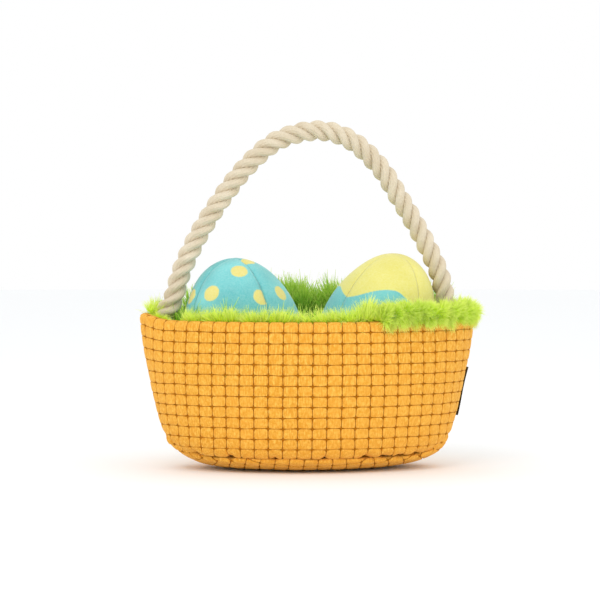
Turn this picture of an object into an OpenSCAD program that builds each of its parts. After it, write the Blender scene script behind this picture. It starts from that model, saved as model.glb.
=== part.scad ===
// Plush Easter basket: a stuffed basket of quilted block fabric with a nest of long-pile
// grass fabric, two stuffed eggs stitched down in it and a handle of three-strand rope.
// The origin is the middle of the flat base. +X is the basket's length towards the woven
// tab, -Y is its front and +Z is up. Millimetres and degrees.

/* [Basket] */
// Half of the basket's length at the rim
half_length = 98; // [96:1:104]
// Half of the basket's depth at the rim
half_depth = 57; // [55:1:64]
// Height of the rim above the floor
rim_height = 90; // [88:1:92]
// How far the wall leans in for each millimetre below the rim
wall_taper = 0.18; // [0.12:0.01:0.2]
// How far the round bottom edge runs in
bottom_run_in = 30; // [22:1:32]
// How far the round bottom edge rises
bottom_rise = 26; // [20:1:28]
// Height of the seam between the wall and the base
base_seam_height = 11; // [9:1:14]
// Thickness of the quilted fabric
quilt = 2.6; // [2.2:0.1:2.8]
// Height of the turned-in hem inside the rim
hem_height = 12; // [8:1:14]

/* [Nest] */
// Half of the nest's length at its mouth, outside its backing
nest_half_length = 78.8; // [78.6:0.1:79]
// Half of the nest's depth at its mouth, outside its backing
nest_half_depth = 49.5; // [47:0.5:49.5]
// Height of the nest's floor, under its backing
nest_floor = 40; // [38:0.5:40]
// Thickness of the backing that holds the pile
backing = 1; // [0.8:0.1:1.2]
// Height of the grass above the rim
grass_height = 10; // [6:0.5:10]

/* [Eggs] */
// Radius and length of the dotted egg
dotted_size = [35.2, 84];
// Where the middle of the dotted egg is
dotted_place = [-37.6, 0, 83.6];
// How far the dotted egg leans to the right
dotted_lean = -8; // [-10:1:0]
// Radius and length of the waved egg
waved_size = [34.8, 87];
// Where the middle of the waved egg is
waved_place = [42, 0, 84.8];
// How far the waved egg leans to the right
waved_lean = 12; // [0:1:12]
// How much slimmer the top of an egg is than its bottom
egg_point = 0.08; // [0:0.01:0.15]
// Thickness of the egg fabric
egg_skin = 1.2; // [0.8:0.1:1.5]

/* [Handle] */
// Radius of the rope over its strands
rope_radius = 6.2; // [5.6:0.1:6.2]
// Length of one full turn of a strand
rope_lay = 26; // [24:0.5:32]
// How far the rope's roots are from the middle of the basket
root_reach = 86; // [85.8:0.1:86.2]
// Height of the ends of the rope that are sewn in below the rim
buried_height = 24; // [18:1:26]

/* [Tab] */
// Height of the woven tab along the seam
tab_height = 30; // [20:1:36]
// How far the tab stands out of the seam
tab_reach = 12; // [8:1:14]
// Turn of the tab out from straight back
tab_angle = 20; // [14:1:24]

/* [Hidden] */

// Points round a full oval, and along half of one
oval_steps = 48;
half_steps = 26;
// Above 0 an oval's ends are pointed, and below 0 they are blunt
basket_point = 0.25;
nest_point = -0.2;
// Gap between soft pieces that lie against each other
gap = 0.3;
// The hem's depth inside the wall's outer face: the wall's fabric, a little filling and the hem's own
hem_depth = quilt + 2;
// Heights of the lining's flange and of the top of the filling under it
flange_height = rim_height - 4;
filling_top = flange_height - 0.6;
quilt_colour = [0.98, 0.66, 0.2];
grass_colour = [0.6, 0.88, 0.16];
rope_colour = [0.9, 0.85, 0.74];
tab_colour = [0.1, 0.08, 0.06];
blue = [0.36, 0.74, 0.8];
yellow = [0.96, 0.93, 0.5];
fibre_colour = [0.95, 0.95, 0.93];

// The rope's middle line in the plane through its roots, from the left root to the right one
rope_route = [
    [-root_reach, rim_height], [-80, 100], [-74, 119], [-64, 140], [-50, 162], [-35, 181],
    [-17, 196], [6, 202], [26, 197], [44, 181], [57, 161], [70, 139], [80, 118], [84, 102],
    [root_reach, rim_height]
];
// Sections of the rope between two points of its route, and sides of a strand
steps_per_span = 7;
strand_sides = 8;
// Share of the rope's radius at which a strand's own middle runs, and the strand's radius
strand_orbit = 0.56 * rope_radius;
strand_radius = 0.43 * rope_radius;

// ---- Shapes ----

// How much smaller the basket's outline is at height z than at the rim
function shrink(z) = 1 - (wall_taper * (rim_height - z)
    + bottom_run_in * (1 - sqrt(1 - pow(max(0, bottom_rise - z) / bottom_rise, 2)))) / half_length;

function oval_point(a, b, t, point) = [a * cos(t), b * sin(t) * pow(max(abs(sin(t)), 1e-6), point)];

// A point of the basket's outline at height z, d inside its outer face
function wall_point(z, d, t) = let (k = shrink(z))
    concat(oval_point(k * half_length - d, k * half_depth - d, t, basket_point), z);

function full_turn() = [for (j = [0 : oval_steps - 1]) 360 * j / oval_steps];
function half_turn(from, to) = [for (j = [0 : half_steps]) from + (to - from) * j / half_steps];
function wall_ring(z, d) = [for (t = full_turn()) wall_point(z, d, t)];
function nest_ring(z, a, b) = [for (t = full_turn()) concat(oval_point(a, b, t, nest_point), z)];

// A closed solid over rings that all have the same number of points, from the lower cap to the upper
module loft(rings) {
    n = len(rings[0]);
    last = len(rings) - 1;
    sides = [for (i = [0 : last - 1], j = [0 : n - 1])
        let (k = (j + 1) % n) each [
            [i * n + j, (i + 1) * n + j, (i + 1) * n + k],
            [i * n + j, (i + 1) * n + k, i * n + k]
        ]];
    polyhedron(
        points = [for (r = rings) each r],
        faces = concat([[for (j = [0 : n - 1]) j]], sides, [[for (j = [n - 1 : -1 : 0]) last * n + j]]),
        convexity = 6
    );
}

// A closed solid along sections that are all outlines with the same number of points
module sweep(sections) {
    m = len(sections[0]);
    last = len(sections) - 1;
    sides = [for (i = [0 : last - 1], j = [0 : m - 1])
        let (k = (j + 1) % m) each [
            [i * m + j, i * m + k, (i + 1) * m + k],
            [i * m + j, (i + 1) * m + k, (i + 1) * m + j]
        ]];
    polyhedron(
        points = [for (s = sections) each s],
        faces = concat([[for (j = [m - 1 : -1 : 0]) j]], sides, [[for (j = [0 : m - 1]) last * m + j]]),
        convexity = 6
    );
}

// ---- Basket ----

// The wall's profile as [depth inside the outer face, height]: up the outside, over and down the hem
function wall_profile() = concat(
    [for (z = [base_seam_height + gap / 2, 15, 20, 28, 44, 64, rim_height - 2]) [0, z]],
    [[0.7, rim_height - 0.6], [quilt - 0.8, rim_height], [hem_depth - 1.6, rim_height],
     [hem_depth - 0.5, rim_height - 0.6], [hem_depth, rim_height - 2],
     [hem_depth, rim_height - hem_height], [quilt, rim_height - hem_height - 1.4]],
    [for (z = [64, 44, 28, 20, 15, base_seam_height + gap / 2]) [quilt, z]]
);

// A point of the wall on the half of the basket that starts at the turn from, kept off the side seams
function panel_point(p, t, from) = let (q = wall_point(p[1], p[0], t), y = q[1] * sign(90 - from))
    [q[0], sign(90 - from) * max(y, gap / 2), q[2]];

module wall_panel(from) {
    color(quilt_colour) sweep([for (t = half_turn(from, from + 180))
        [for (p = wall_profile()) panel_point(p, t, from)]]);
}

module base_panel() {
    top = base_seam_height - gap / 2;
    color(quilt_colour) loft(concat(
        [for (z = [0, 1, 3, 6, top]) wall_ring(z, 0)],
        [wall_ring(top, quilt), wall_ring(7, 3.6), wall_ring(4.2, 5.4), wall_ring(2.8, 8.4)]
    ));
}

// Heights and half sizes of the nest's backing, from its floor up: [height, half length, half depth]
function nest_profile() = [
    [nest_floor, 50, 21], [nest_floor + 2, 60, 30.5], [nest_floor + 6, 67, 37],
    [nest_floor + 12, 71, 41.4], [nest_floor + 20, nest_half_length - 4.6, 45],
    [flange_height - 10, nest_half_length - 1.5, nest_half_depth - 1.8],
    [flange_height, nest_half_length, nest_half_depth]
];

// The fibre between the wall, the base, the hem and the nest's bowl
module body_filling() {
    cloth = quilt + gap;
    lip = hem_depth + gap;
    hem_edge = rim_height - hem_height;
    // Each outer ring is [height, depth inside the wall's outer face]
    outside = [[3.1, 9], [4.6, 6.2], [7.2, 4.2], [base_seam_height, cloth], [20, cloth], [44, cloth],
        [hem_edge - 2, cloth], [hem_edge - 0.5, lip], [filling_top, lip]];
    profile = nest_profile();
    inside = [for (i = [len(profile) - 1 : -1 : 0])
        [min(profile[i][0] - gap, filling_top), profile[i][1] + gap, profile[i][2] + gap]];
    color(fibre_colour) difference() {
        loft(concat(
            [for (p = outside) wall_ring(p[0], p[1])],
            [for (p = inside) nest_ring(p[0], p[1], p[2])]
        ));
        for (side = [-1, 1]) along_rope_end(side) translate([0, 0, -buried_height - gap])
            cylinder(r = whipping_radius + gap, h = buried_height + rim_height, $fn = 48);
    }
}

// The backing: a bowl with a flange that is sewn to the hem, notched where the rope comes up
module grass_lining() {
    profile = nest_profile();
    last = len(profile) - 1;
    low = flange_height + 0.2;
    high = low + backing;
    color(grass_colour) difference() {
        loft(concat(
            [for (p = profile) nest_ring(p[0], p[1], p[2])],
            [wall_ring(low, hem_depth + gap), wall_ring(high, hem_depth + gap)],
            [nest_ring(high, profile[last][1] - backing, profile[last][2] - backing)],
            [for (i = [last - 1 : -1 : 0])
                nest_ring(profile[i][0] + (i < 4 ? backing : 0), profile[i][1] - backing, profile[i][2] - backing)]
        ));
        for (side = [-1, 1]) translate([side * (root_reach + 1.5), 0, flange_height])
            cube([2 * rope_radius + 3.6, 2 * rope_radius + 4, 8], center = true);
    }
}

// The pile that stands over the rim, as [depth inside the wall's outer face, height above the rim]
module grass_pile(from, to) {
    section = [[-2.4, gap], [-2.8, 0.5 * grass_height], [0.5, 0.9 * grass_height], [3.5, grass_height],
        [7.5, 0.85 * grass_height], [9, 0.4 * grass_height], [8.6, gap]];
    color(grass_colour) sweep([for (t = half_turn(from, to))
        [for (p = section) let (q = wall_point(rim_height, p[0], t)) [q[0], q[1], rim_height + p[1]]]]);
}

module grass_pile_nest() {
    color(grass_colour) difference() {
        translate([0, 0, nest_floor + backing + gap]) linear_extrude(3.2)
            polygon([for (t = full_turn()) oval_point(50, 19, t, nest_point)]);
        egg_shape(dotted_place, dotted_lean, dotted_size, gap, 0, 360);
        egg_shape(waved_place, waved_lean, waved_size, gap, 0, 360);
        tack_holes(dotted_place, dotted_lean, dotted_size);
        tack_holes(waved_place, waved_lean, waved_size);
    }
}

// ---- Rope ends inside the wall ----

whipping_radius = rope_radius + 0.6;
whipping_height = 5;
thread_radius = 0.3;
// Heights of the tack threads along a buried end, from the rim
tack_heights = [-17.6, -16.4, -15.2];
// Where a buried end stops below the bend at the rim, along its own line
rope_end_top = -rope_radius - 1.5;

// Puts things on the line of a buried rope end, which leans with the wall and meets the rim at its root
module along_rope_end(side) {
    translate([side * root_reach, 0, rim_height]) rotate([0, side * atan(wall_taper / 2), 0]) children();
}

module rope_end(side) {
    color(rope_colour) along_rope_end(side) translate([0, 0, -buried_height])
        cylinder(r = rope_radius, h = buried_height + rope_end_top, $fn = 48);
}

// Thread wound round the cut ends of the rope so that they can't fray
module rope_end_whippings() {
    color("white") for (side = [-1, 1]) along_rope_end(side) translate([0, 0, -buried_height])
        difference() {
            cylinder(r = whipping_radius, h = whipping_height, $fn = 48);
            translate([0, 0, -1]) cylinder(r = rope_radius + 0.02, h = whipping_height + 2, $fn = 48);
        }
}

// Loops of thread that hold each rope end down, just under the hem
module rope_tack_threads() {
    color(quilt_colour) for (side = [-1, 1], z = tack_heights) along_rope_end(side) translate([0, 0, z])
        rotate_extrude($fn = 48) translate([rope_radius + thread_radius + 0.02, 0])
            circle(r = thread_radius, $fn = 16);
}

// ---- Handle ----

// A point of a smooth curve through a list of points, a share u along the span that starts at i
function smooth(points, i, u) = let (
        last = len(points) - 1,
        p0 = points[max(i - 1, 0)], p1 = points[i], p2 = points[min(i + 1, last)], p3 = points[min(i + 2, last)]
    ) 0.5 * (2 * p1 + (p2 - p0) * u + (2 * p0 - 5 * p1 + 4 * p2 - p3) * u * u
        + (3 * p1 - p0 - 3 * p2 + p3) * u * u * u);

rope_line = concat(
    [for (i = [0 : len(rope_route) - 2], s = [0 : steps_per_span - 1]) smooth(rope_route, i, s / steps_per_span)],
    [rope_route[len(rope_route) - 1]]
);
function add_up(lengths, i = 0, sum = 0) = i == len(lengths) ? [sum]
    : concat([sum], add_up(lengths, i + 1, sum + lengths[i]));
rope_along = add_up([for (i = [0 : len(rope_line) - 2]) norm(rope_line[i + 1] - rope_line[i])]);

// The rope's direction at a point of its line
function rope_way(i) = let (
        d = rope_line[min(i + 1, len(rope_line) - 1)] - rope_line[max(i - 1, 0)]
    ) d / norm(d);

// A point of the rope's cross-section there: along its inner normal and across it
function rope_point(i, inward, across) = let (w = rope_way(i))
    [rope_line[i][0] + w[1] * inward, across, rope_line[i][1] - w[0] * inward];

// The short stretches that bend at the rim when the handle is pushed over, rounded about its axis
module rope_bends() {
    last = len(rope_line) - 1;
    color(rope_colour) for (i = [0, last]) translate([rope_line[i][0], 0, rim_height])
        let (up = rope_way(i) * (i == 0 ? 1 : -1)) rotate([0, atan2(up[0], up[1]), 0])
            rotate_extrude($fn = 48) difference() {
                circle(r = rope_radius, $fn = 48);
                translate([-2 * rope_radius, -rope_radius]) square([2 * rope_radius, 2 * rope_radius]);
                translate([-rope_radius, -0.02]) square(2 * rope_radius);
            }
}

module rope_strand(k) {
    turn = 360 / rope_lay;
    color(rope_colour) sweep([for (i = [0 : len(rope_line) - 1])
        let (phase = turn * rope_along[i] + 120 * k)
        [for (j = [0 : strand_sides - 1])
            let (q = -360 * j / strand_sides)
            rope_point(i, strand_orbit * cos(phase) + strand_radius * cos(q),
                strand_orbit * sin(phase) + strand_radius * sin(q))]]);
}

// ---- Eggs ----

egg_steps = 20;

// The egg's outline from its bottom to its top, moved out by grow: [radius, height]
function egg_outline(size, grow) = [for (i = [0 : egg_steps])
    let (u = -cos(180 * i / egg_steps))
    [(size[0] + grow) * sqrt(max(0, 1 - u * u)) * (1 - egg_point * u), (size[1] / 2 + grow) * u]];

// A whole egg, or the part of one between two turns about its axis
module egg_shape(place, lean, size, grow, from, to) {
    translate(place) rotate([0, lean, 0]) rotate([0, 0, from])
        rotate_extrude(angle = to - from, $fn = 96) polygon(egg_outline(size, grow));
}

seam_gap = 0.3;
// How far each egg is turned about its own axis before it is stitched down
dotted_turn = -18;
waved_turn = -6;

// One of an egg's four sewn panels, from a turn about its axis
module gore(place, lean, size, turn, tint) {
    color(tint) difference() {
        egg_shape(place, lean, size, 0, turn + seam_gap, turn + 90 - seam_gap);
        egg_shape(place, lean, size, -egg_skin, 0, 360);
    }
}

squeaker_radius = 13;
squeaker_height = 16;

module egg_filling(place, lean, size) {
    color(fibre_colour) difference() {
        egg_shape(place, lean, size, -egg_skin - gap, 0, 360);
        translate(place) rotate([0, lean, 0]) translate([0, 0, -squeaker_height / 2 - gap])
            cylinder(r = squeaker_radius + gap, h = squeaker_height + 8 + 2 * gap, $fn = 64);
    }
}

// A round bellows with a hollow inside and a neck that holds the reed
module squeaker(place, lean) {
    color("white") translate(place) rotate([0, lean, 0]) rotate_extrude($fn = 64) polygon([
        [2.6, squeaker_height / 2 + 4], [2.6, squeaker_height / 2 - 1.2], [10, squeaker_height / 2 - 2.2],
        [11.8, squeaker_height / 4], [9.6, 0], [11.8, -squeaker_height / 4], [10, 1.2 - squeaker_height / 2],
        [0, 1.2 - squeaker_height / 2], [0, -squeaker_height / 2], [11, -squeaker_height / 2],
        [squeaker_radius, -squeaker_height / 4], [10.8, 0], [squeaker_radius, squeaker_height / 4],
        [11, squeaker_height / 2 - 1], [4, squeaker_height / 2], [4, squeaker_height / 2 + 4]
    ]);
}

module reed(place, lean) {
    color("silver") translate(place) rotate([0, lean, 0]) translate([0, 0, squeaker_height / 2 - 2.5])
        difference() {
            cylinder(r = 2.55, h = 7.5, $fn = 48);
            translate([0, 0, -1]) cylinder(r = 1.4, h = 10, $fn = 48);
        }
}

// Distance of each of the two stitches from the middle of the egg's bottom
tack_offset = 6;

// Upright rods of radius r from the nest's floor, near where an egg's bottom rests
module tacks(place, lean, size, r) {
    foot = place[0] - sin(lean) * size[1] / 2;
    for (dx = [-tack_offset, tack_offset]) translate([foot + dx, 0, nest_floor + backing + 0.02])
        cylinder(r = r, h = 4, $fn = 24);
}

module tack_holes(place, lean, size) {
    tacks(place, lean, size, thread_radius + 0.12);
}

// The stitches that hold the egg's bottom to the nest's floor
module tack_thread(place, lean, size) {
    color("white") difference() {
        tacks(place, lean, size, thread_radius + 0.1);
        egg_shape(place, lean, size, 0.02, 0, 360);
    }
}

// ---- Tab ----

tab_thickness = 1.2;
// Height of the tab's middle
tab_middle = 46;

// A folded band of woven ribbon that lies back beside the rear wall
module woven_tab() {
    x = shrink(tab_middle) * half_length;
    color(tab_colour) translate([x + 0.9, 0, tab_middle]) rotate([0, atan(wall_taper), 0])
        rotate([0, 0, 90 - tab_angle])
            translate([0, -tab_thickness / 2, -tab_height / 2])
                cube([tab_reach, tab_thickness, tab_height]);
}

// ---- Nodes ----

wall_panel(180);  // front_wall_panel
wall_panel(0);  // rear_wall_panel
base_panel();
body_filling();
grass_lining();
grass_pile(222, 318);  // grass_pile_front
grass_pile(42, 138);  // grass_pile_rear
grass_pile_nest();
rope_end(-1);  // left_rope_end
rope_end(1);  // right_rope_end
rope_end_whippings();
rope_tack_threads();
rope_bends();
rope_strand(0);  // rope_strand_1
rope_strand(1);  // rope_strand_2
rope_strand(2);  // rope_strand_3
gore(dotted_place, dotted_lean, dotted_size, 225 + dotted_turn, blue);  // dotted_egg_front_gore
gore(dotted_place, dotted_lean, dotted_size, 315 + dotted_turn, blue);  // dotted_egg_right_gore
gore(dotted_place, dotted_lean, dotted_size, 45 + dotted_turn, blue);  // dotted_egg_rear_gore
gore(dotted_place, dotted_lean, dotted_size, 135 + dotted_turn, blue);  // dotted_egg_left_gore
egg_filling(dotted_place, dotted_lean, dotted_size);  // dotted_egg_filling
squeaker(dotted_place, dotted_lean);  // dotted_egg_squeaker
reed(dotted_place, dotted_lean);  // dotted_egg_reed
tack_thread(dotted_place, dotted_lean, dotted_size);  // dotted_egg_tack_thread
gore(waved_place, waved_lean, waved_size, 225 + waved_turn, yellow);  // waved_egg_front_gore
gore(waved_place, waved_lean, waved_size, 315 + waved_turn, yellow);  // waved_egg_right_gore
gore(waved_place, waved_lean, waved_size, 45 + waved_turn, yellow);  // waved_egg_rear_gore
gore(waved_place, waved_lean, waved_size, 135 + waved_turn, yellow);  // waved_egg_left_gore
egg_filling(waved_place, waved_lean, waved_size);  // waved_egg_filling
squeaker(waved_place, waved_lean);  // waved_egg_squeaker
reed(waved_place, waved_lean);  // waved_egg_reed
tack_thread(waved_place, waved_lean, waved_size);  // waved_egg_tack_thread
woven_tab();
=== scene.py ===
import math
from itertools import accumulate

import bmesh
import bpy
from mathutils import Matrix, Vector, noise


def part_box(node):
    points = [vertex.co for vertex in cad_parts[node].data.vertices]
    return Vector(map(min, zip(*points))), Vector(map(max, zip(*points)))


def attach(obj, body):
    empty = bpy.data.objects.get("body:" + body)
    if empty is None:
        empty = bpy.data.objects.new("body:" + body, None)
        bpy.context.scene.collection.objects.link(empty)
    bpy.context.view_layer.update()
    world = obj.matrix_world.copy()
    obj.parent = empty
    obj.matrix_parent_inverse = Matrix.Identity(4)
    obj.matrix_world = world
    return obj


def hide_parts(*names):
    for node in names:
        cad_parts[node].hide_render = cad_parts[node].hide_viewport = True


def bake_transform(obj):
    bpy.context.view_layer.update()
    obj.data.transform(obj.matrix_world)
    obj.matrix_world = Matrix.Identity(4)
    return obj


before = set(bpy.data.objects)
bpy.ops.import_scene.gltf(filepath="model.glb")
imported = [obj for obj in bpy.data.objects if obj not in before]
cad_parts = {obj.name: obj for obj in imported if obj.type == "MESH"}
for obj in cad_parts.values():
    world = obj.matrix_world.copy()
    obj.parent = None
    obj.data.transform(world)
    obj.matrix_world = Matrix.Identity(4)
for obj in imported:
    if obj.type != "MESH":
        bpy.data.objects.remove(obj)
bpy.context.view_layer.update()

# A stuffed basket of block plush with a nest of grass pile, two velour eggs and a rope handle.
# Metres throughout. +X is the basket's length, -Y its front and +Z up; the floor is at z = 0.
MM = 0.001

# ---- Sizes of the basket's body ----

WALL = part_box("rear_wall_panel")
HALF_LENGTH = WALL[1].x
HALF_DEPTH = WALL[1].y
RIM = WALL[1].z
SEAM = WALL[0].z - 2 * MM
OVAL_POINT = 0.25
WALL_TAPER = 0.18
BOTTOM_RISE = 26 * MM
BOTTOM_RUN_IN = 30 * MM
BULGE = 1.6 * MM
HEM_THICK = 4.6 * MM
HEM_HEIGHT = 12 * MM
QUILT = 2.2 * MM

# ---- Camera, lights and floor ----

CAMERA_YAW = math.radians(4)
CAMERA_DISTANCE = 1.3
CAMERA_HEIGHT = 0.130
AIM = Vector((-0.0035, 0, 0.1005))
LENS = 130


def add_camera():
    data = bpy.data.cameras.new("camera")
    data.lens = LENS
    data.sensor_width = 36
    camera = bpy.data.objects.new("camera", data)
    bpy.context.collection.objects.link(camera)
    back = Vector((-math.sin(CAMERA_YAW), -math.cos(CAMERA_YAW), 0))
    camera.location = Vector((AIM.x, AIM.y, CAMERA_HEIGHT)) + back * CAMERA_DISTANCE
    camera.rotation_euler = (AIM - camera.location).to_track_quat("-Z", "Y").to_euler()
    bpy.context.scene.camera = camera


def add_soft_box(name, place, aim, size, power, tint=(1, 1, 1)):
    data = bpy.data.lights.new(name, "AREA")
    data.shape = "RECTANGLE"
    data.size, data.size_y = size
    data.energy = power
    data.color = tint
    light = bpy.data.objects.new(name, data)
    bpy.context.collection.objects.link(light)
    light.location = place
    light.rotation_euler = (Vector(aim) - Vector(place)).to_track_quat("-Z", "Y").to_euler()


def add_lights():
    middle = (0, 0, 0.09)
    add_soft_box("key_light", (-0.6, -1.2, 1.4), middle, (1.0, 1.0), 6)
    add_soft_box("fill_light", (1.1, -1.1, 0.6), middle, (1.0, 1.0), 2)
    world = bpy.data.worlds.new("studio")
    world.use_nodes = True
    world.node_tree.nodes["Background"].inputs["Color"].default_value = (1, 1, 1, 1)
    world.node_tree.nodes["Background"].inputs["Strength"].default_value = 1.0
    bpy.context.scene.world = world
    bpy.context.scene.view_settings.view_transform = "Standard"


def add_floor():
    bm = bmesh.new()
    bmesh.ops.create_circle(bm, cap_ends=True, segments=64, radius=6)
    floor = mesh_object("studio_floor", bm)
    floor.data.materials.append(plain_floor())


# ---- Making objects ----

def mesh_object(name, bm, smooth=True):
    data = bpy.data.meshes.new(name)
    bm.to_mesh(data)
    bm.free()
    piece = bpy.data.objects.new(name, data)
    bpy.context.collection.objects.link(piece)
    if smooth:
        data.polygons.foreach_set("use_smooth", [True] * len(data.polygons))
    return piece


def finish_piece(piece, material, body, nodes=()):
    piece.data.materials.clear()
    piece.data.materials.append(material)
    if nodes:
        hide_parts(*nodes)
    if body:
        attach(piece, body)
    return piece


def smooth_over(piece, levels):
    subdivision = piece.modifiers.new("rounding", "SUBSURF")
    subdivision.levels = subdivision.render_levels = levels
    return piece


# ---- Material building ----

class Nodes:
    """A material's node tree, with a short call for each kind of node."""

    def __init__(self, name):
        self.material = bpy.data.materials.new(name)
        self.material.use_nodes = True
        self.tree = self.material.node_tree
        self.shader = self.tree.nodes["Principled BSDF"]

    def add(self, kind, **settings):
        node = self.tree.nodes.new(kind)
        for key, value in settings.items():
            setattr(node, key, value)
        return node

    def link(self, source, target):
        self.tree.links.new(source, target)

    def put(self, socket, value):
        if isinstance(value, bpy.types.NodeSocket):
            self.link(value, socket)
        else:
            socket.default_value = value

    def set(self, **values):
        for key, value in values.items():
            self.put(self.shader.inputs[key.replace("_", " ")], value)

    def place(self):
        return self.add("ShaderNodeTexCoord").outputs["Object"]

    def attribute(self, name, output="Fac"):
        return self.add("ShaderNodeAttribute", attribute_name=name).outputs[output]

    def mapped(self, source, location=(0, 0, 0), rotation=(0, 0, 0), scale=(1, 1, 1)):
        node = self.add("ShaderNodeMapping")
        self.link(source, node.inputs["Vector"])
        node.inputs["Location"].default_value = location
        node.inputs["Rotation"].default_value = rotation
        node.inputs["Scale"].default_value = scale
        return node.outputs["Vector"]

    def math(self, operation, a, b=0.0, c=0.0):
        node = self.add("ShaderNodeMath", operation=operation)
        for socket, value in zip(node.inputs, (a, b, c)):
            self.put(socket, value)
        return node.outputs[0]

    def noise(self, source, scale, detail=2.0, roughness=0.5):
        node = self.add("ShaderNodeTexNoise")
        self.link(source, node.inputs["Vector"])
        node.inputs["Scale"].default_value = scale
        node.inputs["Detail"].default_value = detail
        node.inputs["Roughness"].default_value = roughness
        return node.outputs["Fac"]

    def remap(self, value, low, high, to_low=0.0, to_high=1.0):
        node = self.add("ShaderNodeMapRange")
        self.link(value, node.inputs["Value"])
        for key, number in (("From Min", low), ("From Max", high), ("To Min", to_low), ("To Max", to_high)):
            node.inputs[key].default_value = number
        return node.outputs["Result"]

    def mix(self, share, first, second, blend="MIX"):
        node = self.add("ShaderNodeMix", data_type="RGBA", blend_type=blend)
        self.put(node.inputs["Factor"], share)
        for socket, colour in ((node.inputs[6], first), (node.inputs[7], second)):
            self.put(socket, colour if isinstance(colour, bpy.types.NodeSocket) else (*colour, 1))
        return node.outputs[2]

    def bump(self, height, strength, distance, normal=None):
        node = self.add("ShaderNodeBump")
        self.link(height, node.inputs["Height"])
        node.inputs["Strength"].default_value = strength
        node.inputs["Distance"].default_value = distance
        if normal:
            self.link(normal, node.inputs["Normal"])
        return node.outputs["Normal"]


def plain_floor():
    n = Nodes("floor_white")
    n.set(Base_Color=(0.965, 0.98, 0.99, 1), Roughness=0.9, Specular_IOR_Level=0.1)
    return n.material


# ---- Sizes of the block plush ----

BLOCK_WIDTH = 8.4 * MM
BLOCK_HEIGHT = 6.3 * MM
GROOVE = 0.22 * MM
PUFF = 1.0 * MM
CROWN = 0.16 * MM
BLOCK_RISE = PUFF + CROWN
BLOCK_SAG = 0.25
# Sharpness of a block's edges and corners, at its lower and its upper side
LOW_CREASE = 0.46
HIGH_CREASE = 0.37


# ---- Shape of the basket's body ----

def shrink(z):
    """How much smaller the basket's outline is at height z than at its rim."""
    low = max(0.0, BOTTOM_RISE - z) / BOTTOM_RISE
    run_in = WALL_TAPER * (RIM - z) + BOTTOM_RUN_IN * (1 - math.sqrt(1 - min(1, low) ** 2))
    return 1 - run_in / HALF_LENGTH


def bulge(z):
    """How far the stuffing pushes the wall out at height z."""
    share = (z - BOTTOM_RISE) / (RIM - BOTTOM_RISE)
    return BULGE * math.sin(math.pi * min(1, max(0, share)) ** 0.8)


def fade(x, start, end):
    """Rises smoothly from 0 at start to 1 at end."""
    share = min(1, max(0, (x - start) / (end - start)))
    return share * share * (3 - 2 * share)


def end_swell(z, t):
    """How much fuller the wall's two ends are stuffed, most of all the right one near the rim."""
    along = math.cos(math.radians(t))
    return along * along * ((2.2 if along > 0 else 0.2) + 1.3 * fade(z, 40 * MM, 76 * MM)) * MM


def oval(a, b, t, point=OVAL_POINT):
    """A point of an oval with half sizes a and b, at t degrees from +X; point makes its ends pointed."""
    t = math.radians(t)
    across = math.copysign(abs(math.sin(t)) ** (1 + point), math.sin(t))
    return Vector((a * math.cos(t), b * across, 0))


def wall_at(z, depth, t):
    """A point of the wall at height z, depth inside its outer face, t degrees round from +X."""
    grow = bulge(z) + end_swell(z, t) - depth
    k = shrink(z)
    return oval(k * HALF_LENGTH + grow, k * HALF_DEPTH + grow, t) + Vector((0, 0, z))


# Arc length along the rim's outline from the middle of the front, for each quarter degree
ARC_STEPS = 720
ARC_POINTS = [oval(HALF_LENGTH, HALF_DEPTH, 270 + 90 * i / ARC_STEPS) for i in range(ARC_STEPS + 1)]
ARC = list(accumulate(((b - a).length for a, b in zip(ARC_POINTS, ARC_POINTS[1:])), initial=0))


def between(x, xs, ys):
    """ys at x, by straight lines between the points (xs, ys); xs rises."""
    if x <= xs[0]:
        return ys[0]
    low, high = 0, len(xs) - 1
    if x >= xs[high]:
        return ys[high]
    while high - low > 1:
        middle = (low + high) // 2
        low, high = (middle, high) if xs[middle] <= x else (low, middle)
    share = (x - xs[low]) / (xs[high] - xs[low])
    return ys[low] + share * (ys[high] - ys[low])


ARC_TURNS = [90 * i / ARC_STEPS for i in range(ARC_STEPS + 1)]


def turn_at(u, z):
    """The turn in degrees from the middle of a panel at length u along its outline at height z."""
    return math.copysign(between(abs(u) / shrink(z), ARC, ARC_TURNS), u)


def wall_section():
    """The wall's section from the base seam up, over the rim and down the hem: (length, depth, height)."""
    crest = HEM_THICK / 2
    fold = RIM - BLOCK_RISE - crest
    points = [(0.0, SEAM + (fold - SEAM) * i / 40) for i in range(41)]
    for i in range(1, 9):
        turn = math.pi * i / 8
        points.append((crest - crest * math.cos(turn), fold + crest * math.sin(turn)))
    points += [(HEM_THICK, fold - (HEM_HEIGHT - crest) * i / 6) for i in range(1, 7)]
    run = [(depth - HALF_DEPTH * shrink(z) - bulge(z), z) for depth, z in points]
    lengths = accumulate((math.dist(a, b) for a, b in zip(run, run[1:])), initial=0)
    return [(length, *point) for length, point in zip(lengths, points)]


SECTION = wall_section()
SECTION_LENGTHS = [row[0] for row in SECTION]
SECTION_DEPTHS = [row[1] for row in SECTION]
SECTION_HEIGHTS = [row[2] for row in SECTION]


def wall_point(u, v, middle):
    """A point of a wall panel at length u from its middle and v up its section."""
    z = between(v, SECTION_LENGTHS, SECTION_HEIGHTS)
    depth = between(v, SECTION_LENGTHS, SECTION_DEPTHS)
    return wall_at(z, depth, middle + turn_at(u, z))


# ---- Block plush ----

def rough(point, scale, seed=0.0):
    """Smooth noise from -1 to 1 that changes over about 1 / scale metres."""
    return noise.noise(point * scale + Vector((seed, seed * 1.7, 0)))


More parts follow.
